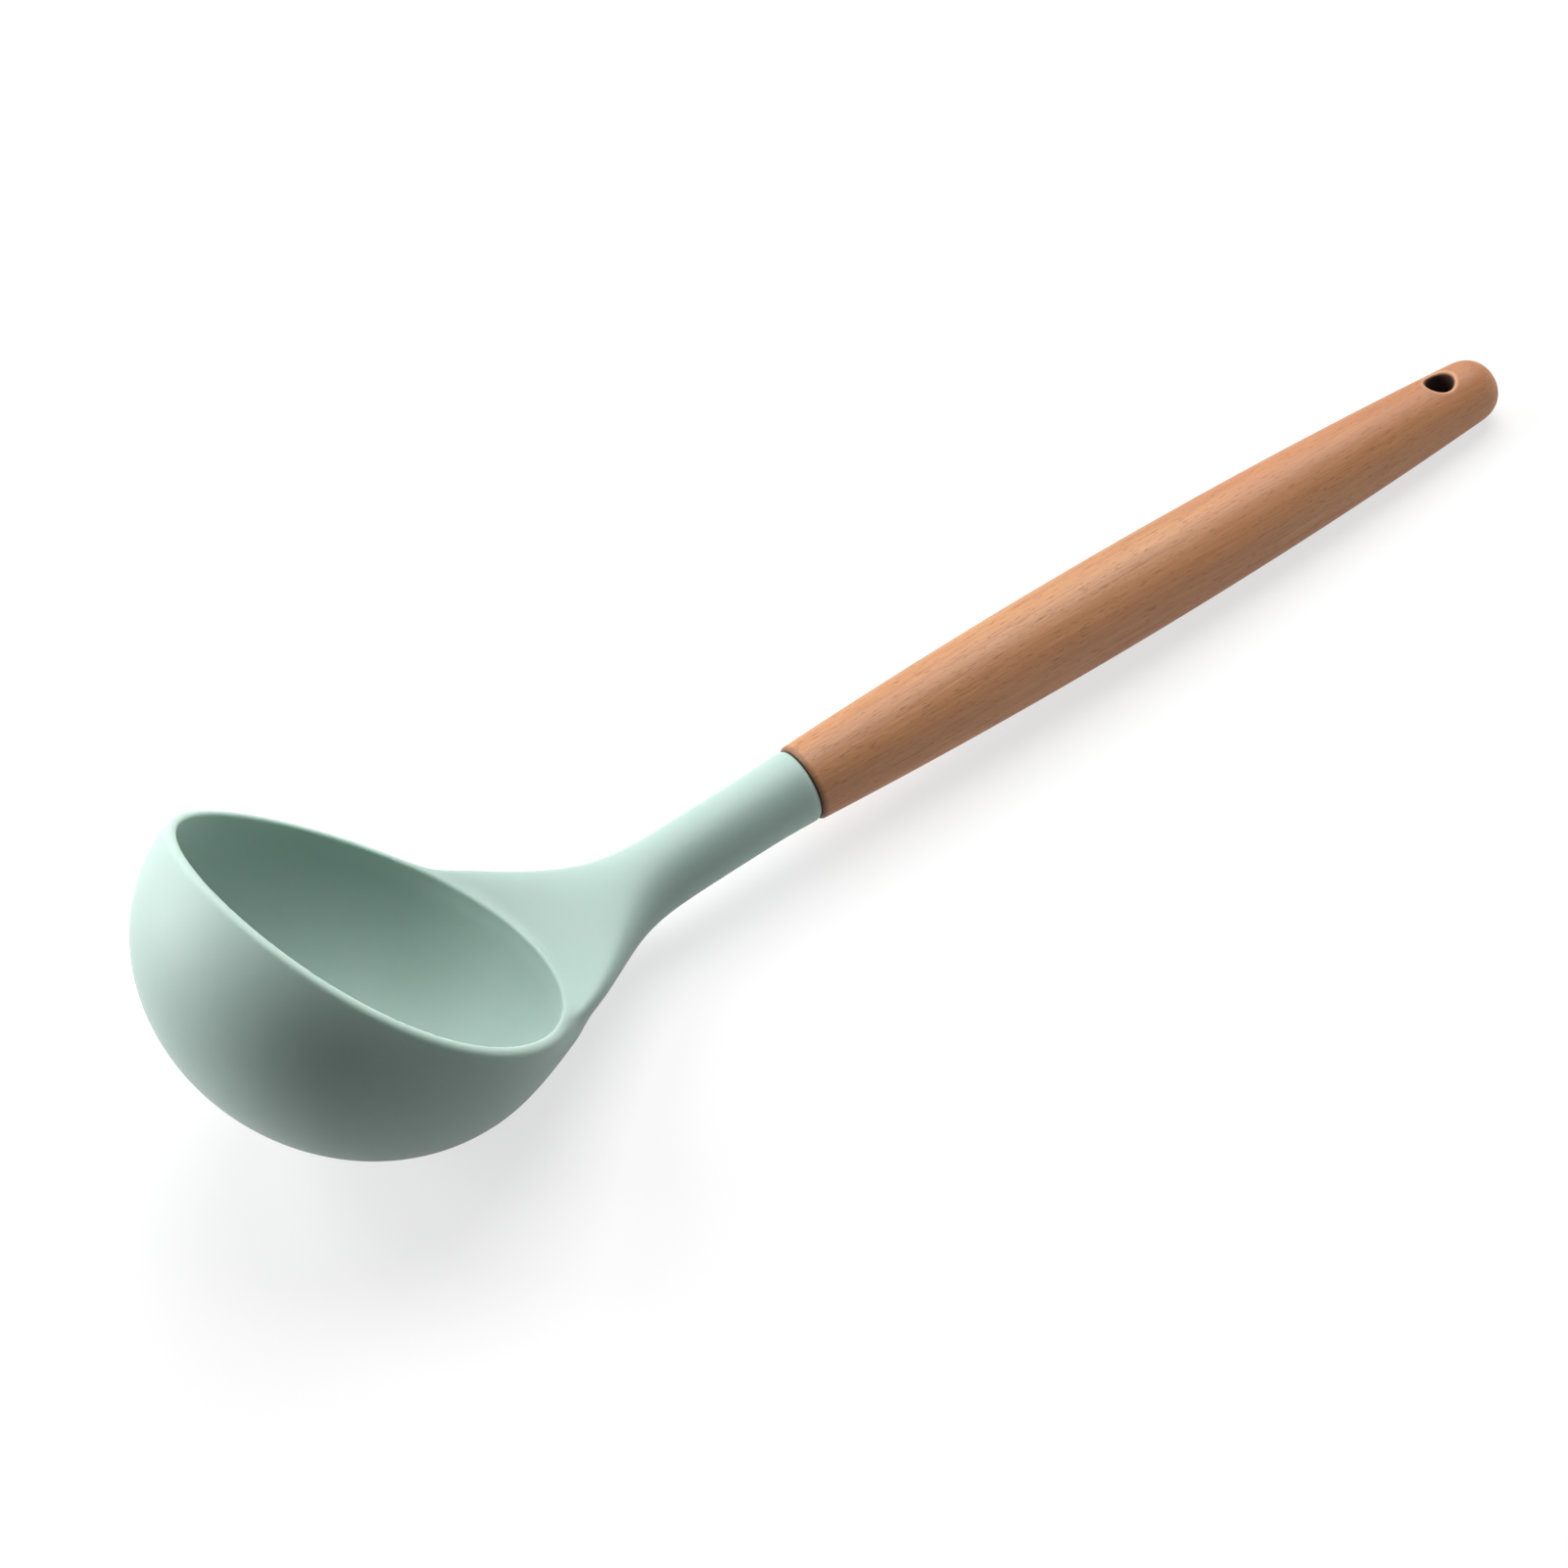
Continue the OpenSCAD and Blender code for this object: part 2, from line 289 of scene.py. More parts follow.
def skin(field, low, high, step):
    """Points and quads of the surface where the field is zero, one point in each cell that it crosses."""
    axes = [np.arange(a, b + step, step) for a, b in zip(low, high)]
    inside = np.empty([len(a) for a in axes], bool)
    across = np.stack(np.meshgrid(axes[1], axes[2], indexing="ij"), -1).reshape(-1, 2)
    for i, x in enumerate(axes[0]):
        layer = np.column_stack([np.full(len(across), x), across])
        inside[i] = (field(layer) < 0).reshape(inside.shape[1:])
    corners = [
        inside[i : i - 1 or None, j : j - 1 or None, k : k - 1 or None]
        for i in (0, 1) for j in (0, 1) for k in (0, 1)
    ]
    crossed = np.any(corners, 0) & ~np.all(corners, 0)
    number = np.full(crossed.shape, -1)
    number[crossed] = np.arange(crossed.sum())
    points = np.argwhere(crossed) * step + np.array(low) + step / 2
    quads = []
    for turn in ((0, 1, 2), (1, 2, 0), (2, 0, 1)):
        filled, cell = inside.transpose(turn), number.transpose(turn)
        here, after = filled[:-1, 1:-1, 1:-1], filled[1:, 1:-1, 1:-1]
        for change, order in ((here & ~after, 1), (after & ~here, -1)):
            i, j, k = np.nonzero(change)
            ring = [cell[i, j, k], cell[i, j + 1, k], cell[i, j + 1, k + 1], cell[i, j, k + 1]]
            quads.append(np.stack(ring[::order], 1))
    return points, np.concatenate(quads)


def relax(field, points, quads):
    """Points evened out along the surface, each towards the mean of its neighbours."""
    a, b = quads.ravel(), np.roll(quads, -1, 1).ravel()
    count = np.bincount(a) + np.bincount(b)
    for _ in range(RELAX_ROUNDS):
        total = [np.bincount(a, points[b, k]) + np.bincount(b, points[a, k]) for k in range(3)]
        mean = np.stack(total, 1) / count[:, None]
        points = settle(field, points + RELAX_SHARE * (mean - points), 1)
    return settle(field, points, SETTLE_ROUNDS)


def show(name, mesh, material):
    """A finished piece: its object at the origin, its place in its mesh."""
    mesh.name = name
    piece = bpy.data.objects.new(name, mesh)
    bpy.context.scene.collection.objects.link(piece)
    if not mesh.materials:
        mesh.materials.append(material)
    return piece


def make_silicone_head(material):
    """The head as one closed skin, which carries on its points the share of bare lip that gets a painted
    highlight.
    """
    reach = BOWL_R + SKIN_MARGIN
    low = (-reach, -reach, BOWL_LIFT - reach)
    high = (COLLAR_X + SKIN_MARGIN, reach, BOWL_LIFT + reach)
    points, quads = skin(head_distance, low, high, SKIN_STEP)
    points = relax(head_distance, settle(head_distance, points, SETTLE_ROUNDS), quads)
    mesh = bpy.data.meshes.new("silicone_head_skin")
    mesh.from_pydata((points - (HOLE_X, 0, 0)) * MM, [], quads)
    mesh.transform(lay_down)
    mesh.shade_smooth()
    normals = slope_of(head_distance, points) @ np.array(lay_down.to_3x3()).T
    mesh.normals_split_custom_set_from_vertices(normals / np.linalg.norm(normals, axis=1)[:, None])
    mesh.attributes.new(LIP_ATTRIBUTE, "FLOAT", "POINT").data.foreach_set("value", bare_lip_highlight(points))
    return show("silicone_head_skin", mesh, material)


class Wire:
    """A number in a node tree. Arithmetic on it adds the tree's Math nodes."""

    def __init__(self, tree, socket):
        self.tree = tree
        self.socket = socket

    def calc(self, operation, *terms):
        """The result of a new Math node."""
        node = self.tree.nodes.new("ShaderNodeMath")
        node.operation = operation
        for socket, term in zip(node.inputs, terms):
            plug(self.tree, socket, term)
        return Wire(self.tree, node.outputs[0])

    def __add__(self, other):
        return self.calc("ADD", self, other)

    def __radd__(self, other):
        return self.calc("ADD", other, self)

    def __sub__(self, other):
        return self.calc("SUBTRACT", self, other)

    def __rsub__(self, other):
        return self.calc("SUBTRACT", other, self)

    def __mul__(self, other):
        return self.calc("MULTIPLY", self, other)

    def __truediv__(self, other):
        return self.calc("DIVIDE", self, other)

    def __pow__(self, other):
        return self.calc("POWER", self, other)

    def __gt__(self, other):
        return self.calc("GREATER_THAN", self, other)

    def __abs__(self):
        return self.calc("ABSOLUTE", self)

    def sin(self):
        return self.calc("SINE", self)

    def cos(self):
        return self.calc("COSINE", self)

    def root(self):
        """Square root, or 0 where there is none."""
        return self.calc("SQRT", self.calc("MAXIMUM", self, 0.0))

    def sign(self):
        return self.calc("SIGN", self)

    def limit(self):
        """The number kept between 0 and 1."""
        return self.calc("MINIMUM", self.calc("MAXIMUM", self, 0.0), 1.0)


def plug(tree, socket, value):
    """Links a wire or a socket to an input, or sets the input's own value."""
    if isinstance(value, Wire):
        tree.links.new(value.socket, socket)
    elif isinstance(value, bpy.types.NodeSocket):
        tree.links.new(value, socket)
    else:
        socket.default_value = value


def feed(tree, node, **inputs):
    """Plugs values into a node's inputs, whose names have underscores for spaces."""
    for name, value in inputs.items():
        plug(tree, node.inputs[name.replace("_", " ")], value)


def add(tree, kind, settings=None, **inputs):
    """A new node with its settings and inputs."""
    node = tree.nodes.new(kind)
    for name, value in (settings or {}).items():
        setattr(node, name, value)
    feed(tree, node, **inputs)
    return node


def group_inputs(tree, sockets):
    """Named inputs of a node group, as wires, and as identifiers for a modifier."""
    for name, kind in sockets:
        tree.interface.new_socket(name, in_out="INPUT", socket_type=kind)
    entry = tree.nodes.new("NodeGroupInput")
    wires = {s.name: Wire(tree, s) for s in entry.outputs if s.name}
    names = {s.name: s.identifier for s in tree.interface.items_tree if s.in_out == "INPUT"}
    return wires, names


HANDLE_SIZES = (
    ("Length", HANDLE_L), ("End Width", HANDLE_END_D), ("End Rounding", END_ROUND),
    ("Belly Width", BELLY_D), ("Belly Place", BELLY_AT), ("Tip Length", TIP_L),
    ("Hole Width", HOLE_D), ("Hole From Tip", HOLE_FROM_TIP), ("Hole Rounding", HOLE_ROUND),
    ("Socket Width", SOCKET_D), ("Socket Depth", SOCKET_L),
)


def barrel_radius(sizes, along):
    """Radius of the turned handle at a distance along it from the collar, before its ends are rounded."""
    from_belly = along / sizes["Belly Place"] - 1.0
    return (sizes["Belly Width"] - (sizes["Belly Width"] - sizes["End Width"]) * from_belly**2.0) / 2.0


def turned_barrel(tree, sizes):
    """The handle's outside: a round of changing width along a line, with more rings towards its ends."""
    line = add(tree, "GeometryNodeCurvePrimitiveLine", End=(1, 0, 0))
    points = add(tree, "GeometryNodeResampleCurve", Curve=line.outputs[0], Count=HANDLE_RINGS)
    share = Wire(tree, tree.nodes.new("GeometryNodeSplineParameter").outputs["Factor"])
    place = add(tree, "ShaderNodeCombineXYZ", X=sizes["Length"] * (1.0 - (share * math.pi).cos()) / 2.0)
    spine = add(tree, "GeometryNodeSetPosition", Geometry=points.outputs[0], Position=place.outputs[0])
    along = Wire(tree, tree.nodes.new("GeometryNodeSplineParameter").outputs["Length"])
    into_tip = (1.0 - (sizes["Length"] - along) / sizes["Tip Length"]).limit()
    tip = (1.0 - into_tip**TIP_POWER).limit() ** (1 / TIP_POWER)
    into_end = (1.0 - along / sizes["End Rounding"]).limit()
    eased = sizes["End Rounding"] * (1.0 - (1.0 - into_end * into_end).root())
    ring = add(tree, "GeometryNodeCurvePrimitiveCircle", Resolution=HANDLE_SIDES, Radius=1.0)
    barrel = add(
        tree, "GeometryNodeCurveToMesh", Curve=spine.outputs[0], Profile_Curve=ring.outputs[0],
        Scale=barrel_radius(sizes, along) * tip - eased, Fill_Caps=True,
    )
    closed = add(tree, "GeometryNodeMergeByDistance", Geometry=barrel.outputs[0], Distance=MERGE_WITHIN)
    return closed.outputs[0]


def hole_cutter(tree, sizes):
    """A spool for the hanging hole, whose rounded mouths follow the handle's own surface."""
    grid = add(
        tree, "GeometryNodeMeshGrid", Size_X=2.0, Size_Y=1.0,
        Vertices_X=2 * HOLE_ROWS + 1, Vertices_Y=HOLE_SIDES + 1,
    )
    at = add(tree, "ShaderNodeSeparateXYZ", Vector=tree.nodes.new("GeometryNodeInputPosition").outputs[0])
    half, round_share = Wire(tree, at.outputs[0]), Wire(tree, at.outputs[1])
    angle = round_share * (2 * math.pi)
    # Rows from the axis outwards: one on it, the mouth's rounding, one past the surface and the closed end
    row = abs(half) * HOLE_ROWS
    bend = ((row - 1.0) / (HOLE_ROWS - 3.0)).limit() * (math.pi / 2)
    past, last = row > HOLE_ROWS - 1.5, row > HOLE_ROWS - 0.5
    reach = (sizes["Hole Width"] / 2.0 + sizes["Hole Rounding"] * (1.0 - bend.cos())) * (1.0 - last)
    along = sizes["Length"] - sizes["Hole From Tip"] + reach * angle.cos()
    across = reach * angle.sin()
    radius = barrel_radius(sizes, along)
    mouth = (radius * radius - across * across).root()
    sink = sizes["Hole Rounding"] * (MOUTH_SINK - bend.sin()) - past * (HOLE_PAST * MM)
    up = half.sign() * (mouth - sink) * (row > 0.5)
    place = add(tree, "ShaderNodeCombineXYZ", X=along, Y=across, Z=up)
    spool = add(tree, "GeometryNodeSetPosition", Geometry=grid.outputs[0], Position=place.outputs[0])
    closed = add(tree, "GeometryNodeMergeByDistance", Geometry=spool.outputs[0], Distance=MERGE_WITHIN)
    return add(tree, "GeometryNodeFlipFaces", Mesh=closed.outputs[0]).outputs[0]


def socket_cutter(tree, sizes):
    """The blind socket for the tang, cut from a little way outside the handle's end."""
    outside = SOCKET_PAST * MM
    depth = sizes["Socket Depth"] + outside
    radius = sizes["Socket Width"] / 2.0
    rod = add(tree, "GeometryNodeMeshCylinder", Vertices=SOCKET_SIDES, Radius=radius, Depth=depth)
    middle = add(tree, "ShaderNodeCombineXYZ", X=depth / 2.0 - outside)
    placed = add(
        tree, "GeometryNodeTransform", Geometry=rod.outputs[0], Translation=middle.outputs[0],
        Rotation=Euler((0, math.pi / 2, 0)),
    )
    return placed.outputs[0]


def handle_tree():
    """Geometry nodes of the turned handle, along X from the collar's face."""
    tree = bpy.data.node_groups.new("turned_handle", "GeometryNodeTree")
    sockets = [(name, "NodeSocketFloat") for name, _ in HANDLE_SIZES]
    wires, names = group_inputs(tree, sockets + [("Finish", "NodeSocketMaterial")])
    tree.interface.new_socket("Handle", in_out="OUTPUT", socket_type="NodeSocketGeometry")
    cut = add(
        tree, "GeometryNodeMeshBoolean", {"operation": "DIFFERENCE", "solver": "EXACT"},
        Mesh_1=turned_barrel(tree, wires),
    )
    for cutter in (hole_cutter(tree, wires), socket_cutter(tree, wires)):
        plug(tree, cut.inputs["Mesh 2"], cutter)
    smooth = add(tree, "GeometryNodeSetShadeSmooth", Geometry=cut.outputs[0], Shade_Smooth=True)
    turn = Wire(tree, tree.nodes.new("GeometryNodeInputMeshEdgeAngle").outputs[0])
    crisp = add(
        tree, "GeometryNodeSetShadeSmooth", {"domain": "EDGE"}, Geometry=smooth.outputs[0],
        Selection=turn > SHARP_ANGLE, Shade_Smooth=False,
    )
    whole = add(tree, "GeometryNodeRealizeInstances", Geometry=crisp.outputs[0])
    finish = add(tree, "GeometryNodeSetMaterial", Geometry=whole.outputs[0], Material=wires["Finish"])
    add(tree, "NodeGroupOutput", Handle=finish.outputs[0])
    return tree, names


def make_wooden_handle(material):
    """The turned handle with its hanging hole and socket, as a plain mesh."""
    blank = bpy.data.objects.new("handle_blank", bpy.data.meshes.new("handle_blank"))
    bpy.context.scene.collection.objects.link(blank)
    turning = blank.modifiers.new("turning", "NODES")
    turning.node_group, names = handle_tree()
    for name, size in HANDLE_SIZES:
        turning[names[name]] = size * MM
    turning[names["Finish"]] = material
    done = blank.evaluated_get(bpy.context.evaluated_depsgraph_get())
    mesh = bpy.data.meshes.new_from_object(done)
    bpy.data.objects.remove(blank)
    mesh.transform(lay_down @ Matrix.Translation(hole_to_collar))
    return show("turned_beech_handle", mesh, material)


# Places of a colour Mix node's sockets, which share their names with its sockets for numbers and vectors
MIX_LOW = 6
MIX_HIGH = 7
MIX_RESULT = 2
# Detail of the moulded grain's clouds and tooth, and how far each moves the tone and the roughness
CLOUD_DETAIL = 3.0
TOOTH_DETAIL = 1.0
CLOUD_TONE = 0.9
TOOTH_TONE = 0.3
CLOUD_ROUGHNESS = 0.08
TOOTH_ROUGHNESS = 0.06

# Colours as they are read off a screen, from 0 to 255
# The lip's paler mint is partly coreless silicone and partly a painted highlight along the lip
LIP_HIGHLIGHT_MINT = (181, 203, 195)
DARK_BEECH = (143, 93, 58)
LIGHT_BEECH = (198, 147, 103)
WARM_BEECH = (178, 115, 78)
OILED_END = (160, 102, 64)
HOLE_RING_BEECH = (228, 186, 152)
# Painted shade inside the hanging hole, over the darker end grain of its bore
BORED_BEECH_SHADE = (48, 22, 12)
# Painted shade in the groove at the seam by the collar
SEAM_SHADE = (70, 42, 26)

# The wood's patterns, by their scales along and across the grain, per metre
STREAK_SCALE = (8.0, 130.0)
FIBRE_SCALE = (70.0, 2200.0)
FLECK_SCALE = (430.0, 2600.0)
WARMTH_SCALE = (14.0, 60.0)
# The year rings: the handle's place in metres from the pith that they lie round, the pith's lean,
# and the rings' scale per metre, waver and detail
FROM_PITH = (0, 0.034, 0.052)
PITH_LEAN = (0, math.radians(1.2), math.radians(-0.8))
RING_SCALE = 110.0
RING_WAVER = 2.5
RING_DETAIL = 3.0
RING_DETAIL_SCALE = 0.8
# The wood's tone from dark at 0 to light at 1, and how far each pattern moves it
BEECH_TONE = 0.55
RING_TONE = 0.16
STREAK_TONE = 1.4
FIBRE_TONE = 1.2
FLECK_TONE = 0.45
# Where in their patterns flecks and warm patches begin, and how fast they reach full strength
FLECK_FROM = 0.6
FLECK_GAIN = 8.0
WARMTH_FROM = 0.4
WARMTH_GAIN = 1.2
# The wood's roughness, and how far fibres, flecks and the hole's inside move it
BEECH_ROUGHNESS = 0.52
FIBRE_ROUGHNESS = 0.2
FLECK_ROUGHNESS = 0.1
BORED_ROUGHNESS = 0.4
# The wood's relief: shares of fibres and flecks, and its strength and depth in metres
FIBRE_RELIEF = 0.7
FLECK_RELIEF = 0.3
BEECH_RELIEF = (0.12, 0.0001)
# Marks on the wood, in millimetres: where the oiled end begins, the lighter ring round the hole, the fade
# of the painted shade at the hole's edge and the painted shade at the seam by the collar
OILED_FROM = 95.0
HOLE_RING_W = 0.7
BORED_FADE = 0.5
SEAM_W = 1.3
# How dark the painted shade in the hole is before it fades, over 1 so that the shade passes the edge
BORED_SHARE = 1.2
# How strong the oiled end, the lighter ring round the hole and the painted shade at the seam are
OILED_SHARE = 0.5
HOLE_RING_SHARE = 0.3
SEAM_SHARE = 0.75


def srgb(colour):
    """A colour as it is read off a screen, from 0 to 255, as linear light."""
    shares = [c / 255 for c in colour]
    return [c / 12.92 if c <= 0.04045 else ((c + 0.055) / 1.055) ** 2.4 for c in shares] + [1.0]


def blend_colour(tree, share, low, high):
    """A colour between two others."""
    mix = add(tree, "ShaderNodeMix", {"data_type": "RGBA"}, Factor=share)
    plug(tree, mix.inputs[MIX_LOW], low)
    plug(tree, mix.inputs[MIX_HIGH], high)
    return mix.outputs[MIX_RESULT]


def noise(tree, at, scale, detail, roughness=0.5):
    """A cloudy pattern from 0 to 1."""
    node = add(tree, "ShaderNodeTexNoise", Vector=at, Scale=scale, Detail=detail, Roughness=roughness)
    return Wire(tree, node.outputs["Fac"])


def about(pattern, amount):
    """A pattern from 0 to 1, moved about zero and scaled by an amount."""
    return (pattern - 0.5) * amount


def moulded_grain():
    """Shared look of moulded and cast surfaces: soft clouds of tone and a fine even tooth."""
    tree = bpy.data.node_groups.new("moulded_grain", "ShaderNodeTree")
    scales = [(name, "NodeSocketFloat") for name in ("Cloud Scale", "Tooth Scale")]
    wires, _ = group_inputs(tree, [("Vector", "NodeSocketVector")] + scales)
    for name in ("Clouds", "Tooth"):
        tree.interface.new_socket(name, in_out="OUTPUT", socket_type="NodeSocketFloat")
    add(
        tree, "NodeGroupOutput",
        Clouds=noise(tree, wires["Vector"], wires["Cloud Scale"], CLOUD_DETAIL),
        Tooth=noise(tree, wires["Vector"], wires["Tooth Scale"], TOOTH_DETAIL),
    )
    return tree


grain_group = moulded_grain()


def new_material(name):
    """A material, its tree, its Principled shader and the object's own coordinates."""
    material = bpy.data.materials.new(name)
    material.use_nodes = True
    tree = material.node_tree
    shader = tree.nodes["Principled BSDF"]
    place = tree.nodes.new("ShaderNodeTexCoord").outputs["Object"]
    return material, tree, shader, place


def relief(tree, shader, pattern, strength, depth):
    """Fine relief on a shader's surface: its pattern, its strength and its depth in metres."""
    node = add(tree, "ShaderNodeBump", Height=pattern, Strength=strength, Distance=depth)
    feed(tree, shader, Normal=node.outputs[0])


def moulded_material(name, low, high, roughness, cloud_scale, tooth_scale, tooth):
    """A moulded surface between two colours, with a tooth of a given strength and depth."""
    material, tree, shader, place = new_material(name)
    grain = add(
        tree, "ShaderNodeGroup", {"node_tree": grain_group},
        Vector=place, Cloud_Scale=cloud_scale, Tooth_Scale=tooth_scale,
    )
    clouds, fine = (Wire(tree, grain.outputs[n]) for n in ("Clouds", "Tooth"))
    share = (0.5 + about(clouds, CLOUD_TONE) + about(fine, TOOTH_TONE)).limit()
    feed(
        tree, shader, Base_Color=blend_colour(tree, share, srgb(low), srgb(high)),
        Roughness=roughness + about(clouds, CLOUD_ROUGHNESS) + about(fine, TOOTH_ROUGHNESS),
    )
    relief(tree, shader, fine, *tooth)
    return material, tree, shader


def mint_silicone():
    """Pale mint silicone, soft to the light, and paler on the lip: partly for having no core behind it,
    partly as a painted highlight.
    """
    material, tree, shader = moulded_material(
        "mint_silicone", low=(160, 183, 175), high=(169, 191, 184), roughness=0.55,
        cloud_scale=45.0, tooth_scale=2600.0, tooth=(0.12, 0.00008),
    )
    # Painted highlight: the lip is blended to a paler mint, which also stands for the silicone having no
    # core behind it
    lip = Wire(tree, add(tree, "ShaderNodeAttribute", {"attribute_name": LIP_ATTRIBUTE}).outputs["Fac"])
    body = shader.inputs["Base Color"].links[0].from_socket
    feed(
        tree, shader, Base_Color=blend_colour(tree, lip, body, srgb(LIP_HIGHLIGHT_MINT)),
        Specular_IOR_Level=0.35, Sheen_Weight=0.08, Sheen_Roughness=0.5,
        Subsurface_Weight=0.7, Subsurface_Radius=(0.8, 1.0, 0.9), Subsurface_Scale=0.0025,
    )
    return material


def core_nylon():
    """Dark glass-filled nylon, as it comes from the mould."""
    material, _, _ = moulded_material(
        "core_nylon", low=(58, 60, 60), high=(78, 80, 79), roughness=0.55,
        cloud_scale=120.0, tooth_scale=4000.0, tooth=(0.2, 0.00006),
    )
    return material


def cured_glue():
    """Amber glue, set with a thin gloss."""
    material, tree, shader = moulded_material(
        "cured_glue", low=(196, 172, 118), high=(222, 204, 152), roughness=0.3,
        cloud_scale=90.0, tooth_scale=900.0, tooth=(0.15, 0.0001),
    )
    feed(tree, shader, Coat_Weight=0.3)
    return material


def oiled_beech():
    """Turned beech: faint rings about a far pith, streaks, fibres and short ray flecks, with an oiled end,
    a lighter ring round the hole, and painted shade inside the hole and at the seam by the collar.
    """
    material, tree, shader, place = new_material("oiled_beech")
    to_grain = add(
        tree, "ShaderNodeMapping", {"vector_type": "TEXTURE"}, Vector=place,
        Location=lay_down @ hole_to_collar, Rotation=Euler((0, tilt, 0)),
    ).outputs[0]

    def grained(scales, detail, roughness=0.5):
        """A pattern drawn out along the grain."""
        along, across = scales
        drawn_out = add(tree, "ShaderNodeMapping", Vector=to_grain, Scale=(along, across, across))
        return noise(tree, drawn_out.outputs[0], scale=1.0, detail=detail, roughness=roughness)

    pith = add(tree, "ShaderNodeMapping", Vector=to_grain, Location=FROM_PITH, Rotation=Euler(PITH_LEAN))
    rings = add(
        tree, "ShaderNodeTexWave",
        {"wave_type": "RINGS", "rings_direction": "X", "wave_profile": "SAW"},
        Vector=pith.outputs[0], Scale=RING_SCALE, Distortion=RING_WAVER,
        Detail=RING_DETAIL, Detail_Scale=RING_DETAIL_SCALE,
    )
    rings = Wire(tree, rings.outputs["Fac"])
    streaks = grained(STREAK_SCALE, detail=4.0)
    fibre = grained(FIBRE_SCALE, detail=3.0, roughness=0.65)
    flecks = ((grained(FLECK_SCALE, detail=1.0) - FLECK_FROM) * FLECK_GAIN).limit()
    warmth = ((grained(WARMTH_SCALE, detail=2.0) - WARMTH_FROM) * WARMTH_GAIN).limit()
    tone = BEECH_TONE + about(rings, RING_TONE) + about(streaks, STREAK_TONE) + about(fibre, FIBRE_TONE)
    tone = (tone - flecks * FLECK_TONE).limit()

    at = add(tree, "ShaderNodeSeparateXYZ", Vector=to_grain)
    along, across = (Wire(tree, at.outputs[k]) for k in (0, 1))
    oiled_end = ((along - OILED_FROM * MM) / ((HANDLE_L - OILED_FROM) * MM)).limit()
    past_hole = along - (HANDLE_L - HOLE_FROM_TIP) * MM
    from_hole = (past_hole * past_hole + across * across).root() - HOLE_D / 2 * MM
    # A lighter ring round the hole's mouth, peaking a little way out from its edge
    hole_ring = (1.0 - abs(from_hole - HOLE_RING_W * MM) / (HOLE_RING_W * MM)).limit()
    # Painted shade inside the hanging hole, fading out just past its edge
    bored_shade = (BORED_SHARE - from_hole / (BORED_FADE * MM)).limit()
    # Painted shade along the seam by the collar, fading over SEAM_W from the wood's face
    seam = (1.0 - along / (SEAM_W * MM)).limit()

    colour = blend_colour(tree, tone, srgb(DARK_BEECH), srgb(LIGHT_BEECH))
    # Overlays: warm patches, the oiled end, a lighter ring round the hole, painted shade in the hole and
    # painted shade at the seam
    for share, shade in (
        (warmth, WARM_BEECH),
        (oiled_end * OILED_SHARE, OILED_END),
        (hole_ring * HOLE_RING_SHARE, HOLE_RING_BEECH),
        (bored_shade, BORED_BEECH_SHADE),
        (seam * SEAM_SHARE, SEAM_SHADE),
    ):
        colour = blend_colour(tree, share, colour, srgb(shade))
    roughness = BEECH_ROUGHNESS + about(fibre, FIBRE_ROUGHNESS) + flecks * FLECK_ROUGHNESS
    feed(
        tree, shader, Base_Color=colour, Roughness=roughness + bored_shade * BORED_ROUGHNESS,
        Specular_IOR_Level=0.45,
    )
    relief(tree, shader, fibre * FIBRE_RELIEF - flecks * FLECK_RELIEF, *BEECH_RELIEF)
    return material


WHITE = (1.0, 1.0, 1.0, 1.0)
# The floor's side, in metres
FLOOR_SIDE = 6.0
FLOOR_ROUGHNESS = 0.9
# The floor's share of white, its grey where it is seen directly, and the greys that bounce light
# to the bowl and to the handle, with the places along X in metres between which they change
FLOOR_GLOW = 0.7
FLOOR_PALE = (0.9, 0.9, 0.9, 1.0)
BOWL_BOUNCE = (0.42, 0.42, 0.42, 1.0)
HANDLE_BOUNCE = (0.9, 0.9, 0.9, 1.0)
BOUNCE_FROM = -0.1
BOUNCE_TO = -0.01
WORLD_STRENGTH = 0.02
# Softboxes round the part: azimuth from +Y towards +X and elevation in degrees,
# distance and size in metres, and power in watts
SOFTBOXES = (
    ("top_softbox", 56, 62, 1.1, 1.0, 16.8),
    ("back_softbox", -30, 42, 1.1, 0.5, 6.0),
    ("left_softbox", -52, 14, 1.1, 0.5, 8.7),
)


def seen_directly(tree):
    """Share of rays that show the background: straight from the camera, by gloss or through glass."""
    path = tree.nodes.new("ShaderNodeLightPath")
    rays = [Wire(tree, path.outputs[n]) for n in ("Is Camera Ray", "Is Glossy Ray", "Is Transmission Ray")]
    return (rays[0] + rays[1] + rays[2]).limit()


def lay_floor():
    """A pale floor that keeps the shadow, lifted to near white where it is seen directly."""
    lowest = cad_box[0][2]
    half = FLOOR_SIDE / 2
    mesh = bpy.data.meshes.new("floor")
    corners = [(x * half, y * half, lowest) for x, y in ((-1, -1), (1, -1), (1, 1), (-1, 1))]
    mesh.from_pydata(corners, [], [(0, 1, 2, 3)])
    material, tree, shader, place = new_material("floor_paper")
    seen = seen_directly(tree)
    along = Wire(tree, add(tree, "ShaderNodeSeparateXYZ", Vector=place).outputs[0])
    share = ((along - BOUNCE_FROM) / (BOUNCE_TO - BOUNCE_FROM)).limit()
    bounce = blend_colour(tree, share, BOWL_BOUNCE, HANDLE_BOUNCE)
    feed(
        tree, shader, Base_Color=blend_colour(tree, seen, bounce, FLOOR_PALE),
        Roughness=FLOOR_ROUGHNESS, Specular_IOR_Level=0.0,
    )
    glow = add(tree, "ShaderNodeEmission", Color=WHITE, Strength=1.0)
    mix = add(tree, "ShaderNodeMixShader")
    for socket, value in zip(mix.inputs, (seen * FLOOR_GLOW, shader.outputs[0], glow.outputs[0])):
        plug(tree, socket, value)
    feed(tree, tree.nodes["Material Output"], Surface=mix.outputs[0])
    floor = show("floor", mesh, material)


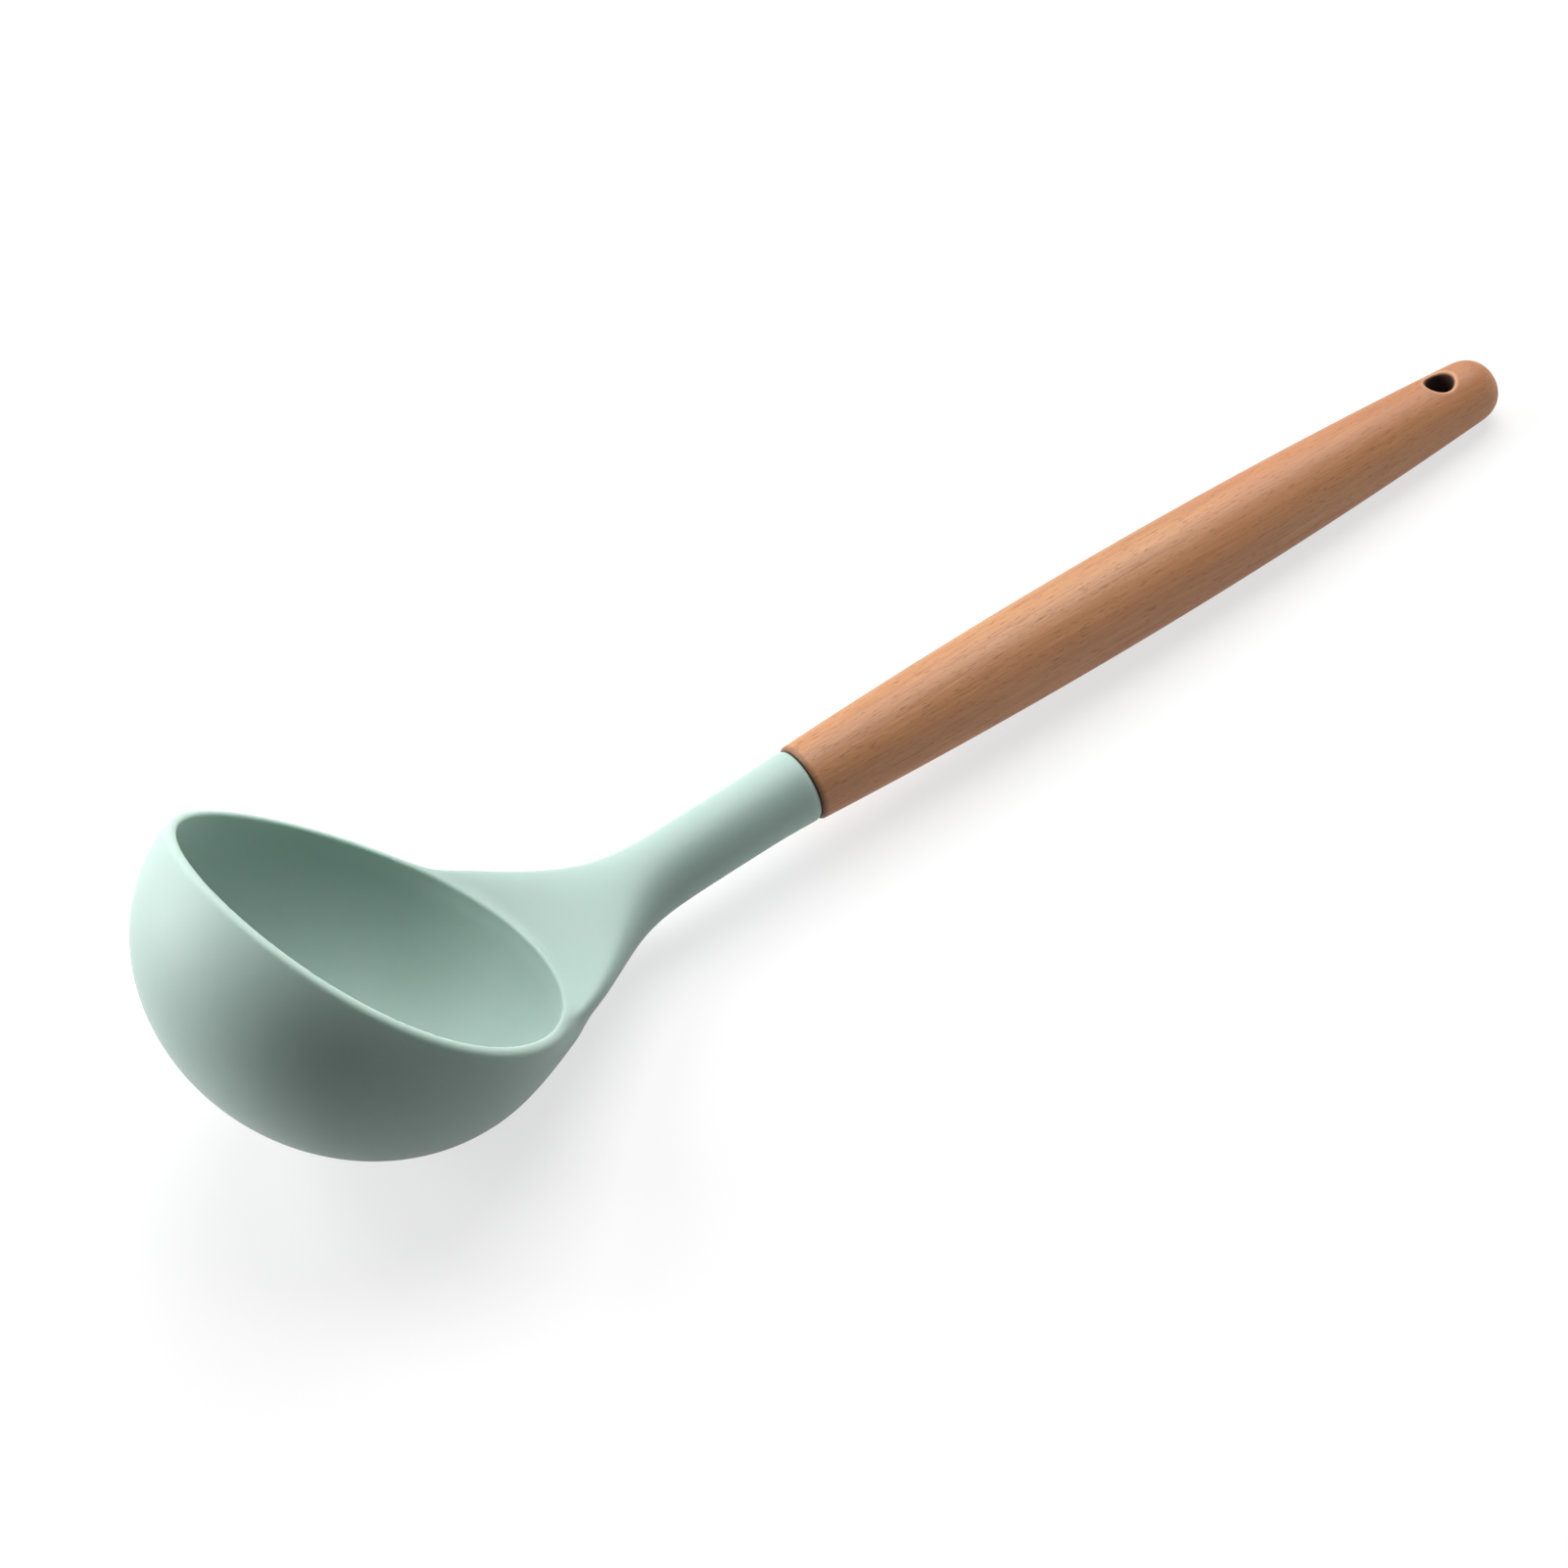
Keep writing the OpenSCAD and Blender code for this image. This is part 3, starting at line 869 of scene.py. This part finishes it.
def light_world():
    """Even light from all round, white where it is seen directly."""
    world = bpy.data.worlds.new("studio")
    bpy.context.scene.world = world
    world.use_nodes = True
    tree = world.node_tree
    strength = WORLD_STRENGTH + seen_directly(tree) * (1.0 - WORLD_STRENGTH)
    feed(tree, tree.nodes["Background"], Color=WHITE, Strength=strength)


def hang_softbox(name, azimuth, elevation, distance, size, power):
    """A square area lamp that faces the middle of the part."""
    lamp = bpy.data.lights.new(name, "AREA")
    lamp.size = size
    lamp.energy = power
    box = bpy.data.objects.new(name, lamp)
    turn = Euler((math.radians(90 - elevation), 0, math.radians(180 - azimuth)))
    low, high = (Vector(corner) for corner in cad_box)
    box.matrix_world = Matrix.Translation((low + high) / 2) @ turn.to_matrix().to_4x4()
    box.matrix_world @= Matrix.Translation((0, 0, distance))
    bpy.context.scene.collection.objects.link(box)


# The photograph's camera: where it stands in metres, where it looks and how it is turned, in degrees,
# and its lens and sensor in millimetres
CAMERA_AT = (-0.29127, -0.63294, 0.66631)
CAMERA_AZIMUTH = 22.8695
CAMERA_ELEVATION = 43.3484
CAMERA_ROLL = -16.091
CAMERA_LENS = 104.61
SENSOR_W = 36.0


def place_camera():
    """The camera, turned towards the part and rolled about its own axis."""
    data = bpy.data.cameras.new("photo_camera")
    data.lens = CAMERA_LENS
    data.sensor_width = SENSOR_W
    camera = bpy.data.objects.new("photo_camera", data)
    camera.matrix_world = (
        Matrix.Translation(CAMERA_AT)
        @ Matrix.Rotation(math.radians(-CAMERA_AZIMUTH), 4, "Z")
        @ Matrix.Rotation(math.radians(90 - CAMERA_ELEVATION), 4, "X")
        @ Matrix.Rotation(math.radians(CAMERA_ROLL), 4, "Z")
    )
    bpy.context.scene.collection.objects.link(camera)
    bpy.context.scene.camera = camera


bpy.context.scene.view_settings.view_transform = "Standard"
place_camera()
lay_floor()
light_world()
for softbox in SOFTBOXES:
    hang_softbox(*softbox)

silicone_head = make_silicone_head(mint_silicone())
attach(silicone_head, "root")
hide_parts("silicone_head")

wooden_handle = make_wooden_handle(oiled_beech())
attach(wooden_handle, "root")
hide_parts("wooden_handle")

for node, material in (("nylon_core", core_nylon()), ("glue_bond", cured_glue())):
    slots = frame["nodes"][node].data.materials
    slots.clear()
    slots.append(material)
